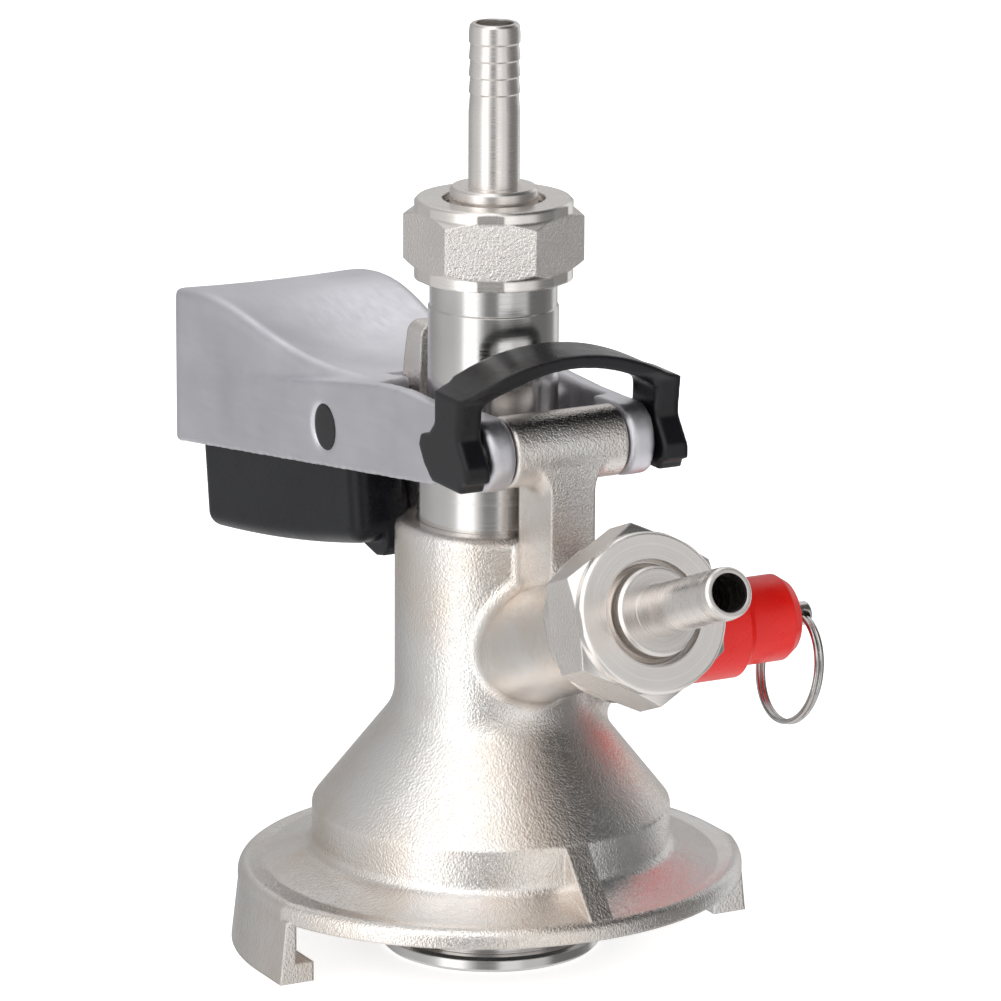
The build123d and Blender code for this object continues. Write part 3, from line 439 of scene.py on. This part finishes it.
# ---------------------------------------------------------------- moulded edges
def rounded(node, voxel, passes):
    """Rounds a moulded piece's edges all over: an even mesh of its solid, smoothed."""
    remesh = nodes[node].modifiers.new("even_mesh", "REMESH")
    remesh.mode = "VOXEL"
    remesh.voxel_size = voxel
    remesh.use_smooth_shade = True
    smooth = nodes[node].modifiers.new("soft_edges", "SMOOTH")
    smooth.factor = 0.5
    smooth.iterations = passes


rounded("bail", 0.0003, 26)
rounded("lever", 0.0004, 22)


# ---------------------------------------------------------------- relief spring
def coil_spring(name, start, length, coil_radius, wire_radius, turns):
    """Round-wire spring along x from its start, closed at both ends of the wire."""
    around, per_turn = 10, 32
    shape = bmesh.new()
    rings = []
    count = turns * per_turn + 1
    for step in range(count):
        angle = 2 * pi * step / per_turn
        out = Vector((0, cos(angle), sin(angle)))
        rise = wire_radius + (length - 2 * wire_radius) * step / (count - 1)
        middle = start + coil_radius * out + Vector((rise, 0, 0))
        ring = []
        for place in range(around):
            turn = 2 * pi * place / around
            offset = cos(turn) * out + sin(turn) * Vector((1, 0, 0))
            ring.append(shape.verts.new(middle + wire_radius * offset))
        rings.append(ring)
    for first, second in zip(rings, rings[1:]):
        for place in range(around):
            after = (place + 1) % around
            shape.faces.new((first[place], second[place], second[after], first[after]))
    shape.faces.new(rings[0])
    shape.faces.new(rings[-1][::-1])
    bmesh.ops.recalc_face_normals(shape, faces=shape.faces)
    mesh = bpy.data.meshes.new(name)
    shape.to_mesh(mesh)
    shape.free()
    mesh.polygons.foreach_set("use_smooth", [True] * len(mesh.polygons))
    spring = bpy.data.objects.new(name, mesh)
    bpy.context.collection.objects.link(spring)
    return spring


def add_relief_spring():
    """Stands for the CAD spring: a coil of round wire in its place, fixed to the body."""
    low, high = (Vector(corner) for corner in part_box("relief_spring"))
    length = high.x - low.x
    coil_radius = (high.z - low.z) / 2 - spring_wire_radius
    middle = between(low, high)
    start = Vector((low.x, middle.y, middle.z))
    spring = coil_spring(
        "relief_coil", start, length, coil_radius, spring_wire_radius, spring_turns
    )
    spring.data.materials.append(wire)
    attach(spring, "body")
    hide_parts("relief_spring")
    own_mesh(spring)


add_relief_spring()


# ---------------------------------------------------------------- floor, light and camera
def stage_floor():
    """A plain pale floor just under the claws."""
    bpy.ops.mesh.primitive_plane_add(size=floor_size, location=(0, 0, cad_box[0][2]))
    floor = bpy.context.object
    floor.name = "floor"
    s = Shader("floor_white", metallic=0)
    s.colors(s.noise(2, 2), (0.92, 0.92, 0.92), (0.94, 0.94, 0.94))
    s.rough(0.6)
    s.bsdf.inputs["Emission Color"].default_value = (1, 1, 1, 1)
    s.bsdf.inputs["Emission Strength"].default_value = floor_glow
    floor.data.materials.append(s.material)
    floor.visible_glossy = False


def studio():
    """A soft studio all round: strip boxes, grey gaps between them and a bright ceiling."""
    world = bpy.data.worlds.new("studio")
    bpy.context.scene.world = world
    world.use_nodes = True
    tree = world.node_tree
    background = tree.nodes["Background"]
    direction = tree.nodes.new("ShaderNodeTexCoord").outputs["Generated"]
    split = tree.nodes.new("ShaderNodeSeparateXYZ")
    tree.links.new(direction, split.inputs[0])

    def strips(turn, stops):
        """Brightness by degrees of azimuth from the viewing side, as a ramp."""
        ramp = tree.nodes.new("ShaderNodeValToRGB")
        elements = ramp.color_ramp.elements
        elements.remove(elements[1])
        for index, (degrees, level) in enumerate(stops):
            element = elements.new(degrees / 360 + 0.5) if index else elements[0]
            share = level / brightest
            element.color = (share, share, share, 1)
        tree.links.new(turn, ramp.inputs["Fac"])
        return ramp.outputs["Color"]

    def blend(lowest, highest, below, above):
        """One colour below a height in degrees and another above a second height."""
        rise = tree.nodes.new("ShaderNodeMapRange")
        rise.interpolation_type = "SMOOTHSTEP"
        rise.inputs["From Min"].default_value = sin(radians(lowest))
        rise.inputs["From Max"].default_value = sin(radians(highest))
        tree.links.new(split.outputs["Z"], rise.inputs["Value"])
        mix = tree.nodes.new("ShaderNodeMix")
        mix.data_type = "RGBA"
        tree.links.new(rise.outputs["Result"], mix.inputs["Factor"])
        for name, value in (("A", below), ("B", above)):
            socket = next(s for s in mix.inputs if s.name == name and s.type == "RGBA")
            feed(tree, value, socket)
        return next(s for s in mix.outputs if s.type == "RGBA")

    minus_y = maths(tree, "MULTIPLY", split.outputs["Y"], -1)
    azimuth = maths(tree, "ARCTAN2", split.outputs["X"], minus_y)
    turns = maths(tree, "DIVIDE", azimuth, 2 * pi)
    turn = maths(tree, "FRACT", maths(tree, "ADD", turns, 0.5 - view_azimuth / 360))
    walls = blend(*ceiling_heights, strips(turn, low_strips), strips(turn, high_strips))
    share = ground_level / brightest
    everywhere = blend(*ground_heights, (share, share, share, 1), walls)
    tree.links.new(everywhere, background.inputs["Color"])
    background.inputs["Strength"].default_value = brightest


def camera():
    """A long lens at the photograph's angle, rolled a little."""
    azimuth = radians(view_azimuth)
    elevation = radians(view_elevation)
    roll = radians(view_roll)
    across = cos(elevation)
    back = Vector((sin(azimuth) * across, -cos(azimuth) * across, sin(elevation)))
    right = Vector((cos(azimuth), sin(azimuth), 0))
    up = back.cross(right)
    rolled_right = cos(roll) * right + sin(roll) * up
    rolled_up = cos(roll) * up - sin(roll) * right
    data = bpy.data.cameras.new("camera")
    data.sensor_width = 36
    data.lens = data.sensor_width * view_focal_lengths
    view = bpy.data.objects.new("camera", data)
    bpy.context.collection.objects.link(view)
    aim = Vector((0, 0, view_aim_z))
    place = aim + view_distance * back + view_shift * rolled_right
    columns = Matrix((rolled_right, rolled_up, back)).transposed()
    view.matrix_world = Matrix.Translation(place) @ columns.to_4x4()
    bpy.context.scene.camera = view
    bpy.context.scene.view_settings.view_transform = "Standard"


stage_floor()
studio()
camera()
